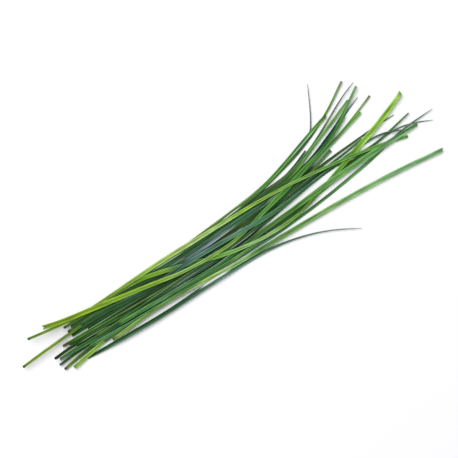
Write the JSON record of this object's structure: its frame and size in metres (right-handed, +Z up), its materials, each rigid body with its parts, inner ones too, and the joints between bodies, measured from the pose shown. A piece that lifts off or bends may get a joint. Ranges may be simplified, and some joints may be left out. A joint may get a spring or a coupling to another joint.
{
  "type": "garlic chive bunch",
  "caption": "Loose bunch of cut garlic chive leaves lying on its side, long flat channelled blades that run together and fan out at the tips.",
  "frame": {"origin": "centre of the bunch's box seen from above, on the surface that it lies on", "axes": "+X along the bunch from the cut butts to the tips, +Y to the left of that as seen from above, +Z up"},
  "size_m": [0.3396, 0.1066, 0.0095],
  "materials": {
    "leaf_lime": "satin, fine veins along the leaf",
    "leaf_yellow": "satin, fine veins along the leaf",
    "leaf_bright": "satin, fine veins along the leaf",
    "leaf_light": "satin, fine veins along the leaf",
    "leaf_blue": "satin with a waxy bloom",
    "leaf_dark": "satin, fine veins along the leaf",
    "leaf_dull": "satin, fine veins along the leaf",
    "leaf_grey": "dull, half dried"
  },
  "bodies": {
    "root": {"leaf_yellow_edge": "leaf_yellow", "leaf_lime_long": "leaf_lime", "leaf_lime_sweep": "leaf_lime", "leaf_blue_arc": "leaf_blue", "leaf_blue_wide": "leaf_blue", "leaf_dull_inner": "leaf_dull", "leaf_dark_base": "leaf_dark", "leaf_brown_butt": "leaf_dark", "leaf_dark_crossing": "leaf_dark", "leaf_small_green": "leaf_bright", "leaf_near_black": "leaf_dark", "leaf_green_mid": "leaf_bright", "leaf_light_wide": "leaf_light", "leaf_pale_butt": "leaf_light", "leaf_grey_butt": "leaf_dark", "leaf_olive_butt": "leaf_dull", "leaf_green_low": "leaf_light", "leaf_dark_low": "leaf_dark", "leaf_lime_to_fine": "leaf_lime", "leaf_light_lower": "leaf_light", "leaf_lower_hair": "leaf_dark", "leaf_upper_edge": "leaf_bright", "leaf_kinked_hair": "leaf_grey", "leaf_upper_second": "leaf_bright", "leaf_curved_tip": "leaf_dull", "leaf_short_tip": "leaf_dark", "leaf_dark_fine": "leaf_dark", "leaf_far_butt": "leaf_dull", "leaf_inner_upper": "leaf_dark", "leaf_inner_lower": "leaf_dark", "leaf_inner_middle": "leaf_dark", "leaf_inner_far": "leaf_dark"}
  },
  "joints": []
}
